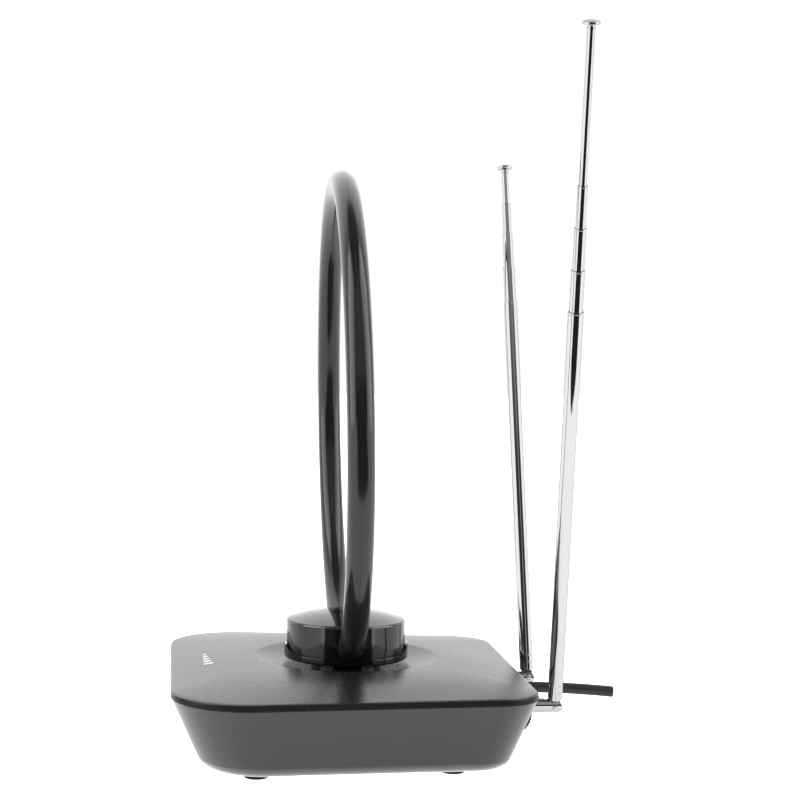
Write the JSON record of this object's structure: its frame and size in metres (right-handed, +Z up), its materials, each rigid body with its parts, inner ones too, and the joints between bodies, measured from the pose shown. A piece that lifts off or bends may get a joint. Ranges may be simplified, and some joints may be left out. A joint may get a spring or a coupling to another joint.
{
  "type": "rabbit ears antenna",
  "caption": "Indoor television antenna: a tray base on rubber feet with a crowned cover, a turning loop on a domed hub, and telescopic rods that swivel, fold and slide.",
  "frame": {"origin": "on the loop hub's turning axis, in the plane that the feet's undersides rest on", "axes": "+Z up along the hub's turning axis; -Y is the front, +Y is the rear where the rods and cable leave; +X is the side with the gain wheel, the right-hand side seen from the front"},
  "size_m": [0.2386, 0.2057, 0.3175],
  "materials": {
    "tray_plastic": "moulded, fine satin",
    "cover_plastic": "fine spark-eroded grain",
    "hub_gloss": "polished",
    "loop_plastic": "semi-gloss",
    "chrome_tube": "polished nickel-chrome plating",
    "cable_jacket": "soft PVC",
    "foot_rubber": "matt",
    "plain_steel": "zinc plated",
    "brass_part": "drawn",
    "aluminium_part": "drawn",
    "board_laminate": "solder mask",
    "ferrite": "sintered",
    "wire_sleeve": "PVC",
    "nylon_white": "natural nylon",
    "nylon_black": "black nylon"
  },
  "bodies": {
    "base": {"base_tray": "tray_plastic", "top_cover": "cover_plastic", "ballast_plate": "plain_steel", "rubber_feet": "foot_rubber", "case_screws": "plain_steel", "circuit_board": "board_laminate", "board_screws": "plain_steel", "shield_can": "plain_steel", "balun_core": "ferrite", "balun_winding": "brass_part", "gain_potentiometer": "nylon_black", "coax_cable": "cable_jacket", "cable_grommet": "cable_jacket", "rod_bushes": "nylon_black", "solder_lugs": "brass_part", "swivel_washers": "plain_steel", "rod_lead_wires": "wire_sleeve", "board_lead_wires": "wire_sleeve", "hub_bush": "nylon_black", "hub_wave_washer": "plain_steel"},
    "gain_dial": {"gain_wheel": "nylon_black"},
    "hub": {"hub_collar": "hub_gloss", "hub_cap": "hub_gloss", "hub_spindle": "nylon_white", "hub_clip": "plain_steel", "hub_screws": "plain_steel", "loop_front_shell": "loop_plastic", "loop_rear_shell": "loop_plastic", "loop_conductor": "aluminium_part", "loop_lead_wires": "wire_sleeve", "loop_lead_plug": "nylon_white"},
    "right_swivel": {"right_swivel_stub": "chrome_tube", "right_swivel_clip": "plain_steel"},
    "right_rod": {"right_pivot_pin": "chrome_tube", "right_rod_tongue": "chrome_tube", "right_tube_1": "chrome_tube"},
    "right_section_2": {"right_tube_2": "chrome_tube"},
    "right_section_3": {"right_tube_3": "chrome_tube"},
    "right_section_4": {"right_tube_4": "chrome_tube"},
    "right_tip": {"right_tip_rod": "chrome_tube", "right_tip_button": "chrome_tube"},
    "left_swivel": {"left_swivel_stub": "chrome_tube", "left_swivel_clip": "plain_steel"},
    "left_rod": {"left_pivot_pin": "chrome_tube", "left_rod_tongue": "chrome_tube", "left_tube_1": "chrome_tube"},
    "left_section_2": {"left_tube_2": "chrome_tube"},
    "left_section_3": {"left_tube_3": "chrome_tube"},
    "left_section_4": {"left_tube_4": "chrome_tube"},
    "left_tip": {"left_tip_rod": "chrome_tube", "left_tip_button": "chrome_tube"}
  },
  "joints": [
    {"name": "hub_turn", "type": "hinge", "parent": "base", "child": "hub", "pos_m": [0, 0, 0.04], "axis": [0, 0, 1], "range_deg": [-43.05, 45.95]},
    {"name": "gain_turn", "type": "hinge", "parent": "base", "child": "gain_dial", "pos_m": [0.052, 0.06722, 0.02529], "axis": [1, 0, 0], "range_deg": [-135, 135]},
    {"name": "right_swivel_turn", "type": "hinge", "parent": "base", "child": "right_swivel", "pos_m": [0.0323, 0.0905, 0.0246], "axis": [0, 1, 0], "range_deg": [-17, 73]},
    {"name": "right_fold", "type": "hinge", "parent": "right_swivel", "child": "right_rod", "pos_m": [0.0323, 0.0905, 0.0246], "axis": [-0.9563, 0, 0.2924], "range_deg": [0, 91]},
    {"name": "right_slide_1", "type": "slide", "parent": "right_rod", "child": "right_section_2", "axis": [0.2924, -0.0122, 0.9562], "range_m": [-0.0165, 0.132]},
    {"name": "right_slide_2", "type": "slide", "parent": "right_section_2", "child": "right_section_3", "axis": [0.2924, -0.0122, 0.9562], "range_m": [-0.0165, 0.132]},
    {"name": "right_slide_3", "type": "slide", "parent": "right_section_3", "child": "right_section_4", "axis": [0.2924, -0.0122, 0.9562], "range_m": [-0.0165, 0.132]},
    {"name": "right_slide_4", "type": "slide", "parent": "right_section_4", "child": "right_tip", "axis": [0.2924, -0.0122, 0.9562], "range_m": [-0.0625, 0.086]},
    {"name": "left_swivel_turn", "type": "hinge", "parent": "base", "child": "left_swivel", "pos_m": [-0.0323, 0.0905, 0.0246], "axis": [0, -1, 0], "range_deg": [-9.6, 80.4]},
    {"name": "left_fold", "type": "hinge", "parent": "left_swivel", "child": "left_rod", "pos_m": [-0.0323, 0.0905, 0.0246], "axis": [-0.986, 0, -0.1668], "range_deg": [0, 91]},
    {"name": "left_slide_1", "type": "slide", "parent": "left_rod", "child": "left_section_2", "axis": [-0.1668, -0.0122, 0.9859], "range_m": [-0.0163, 0.1322]},
    {"name": "left_slide_2", "type": "slide", "parent": "left_section_2", "child": "left_section_3", "axis": [-0.1668, -0.0122, 0.9859], "range_m": [-0.0155, 0.133]},
    {"name": "left_slide_3", "type": "slide", "parent": "left_section_3", "child": "left_section_4", "axis": [-0.1668, -0.0122, 0.9859], "range_m": [-0.0141, 0.1344]},
    {"name": "left_slide_4", "type": "slide", "parent": "left_section_4", "child": "left_tip", "axis": [-0.1668, -0.0122, 0.9859], "range_m": [-0.0143, 0.1342]}
  ]
}
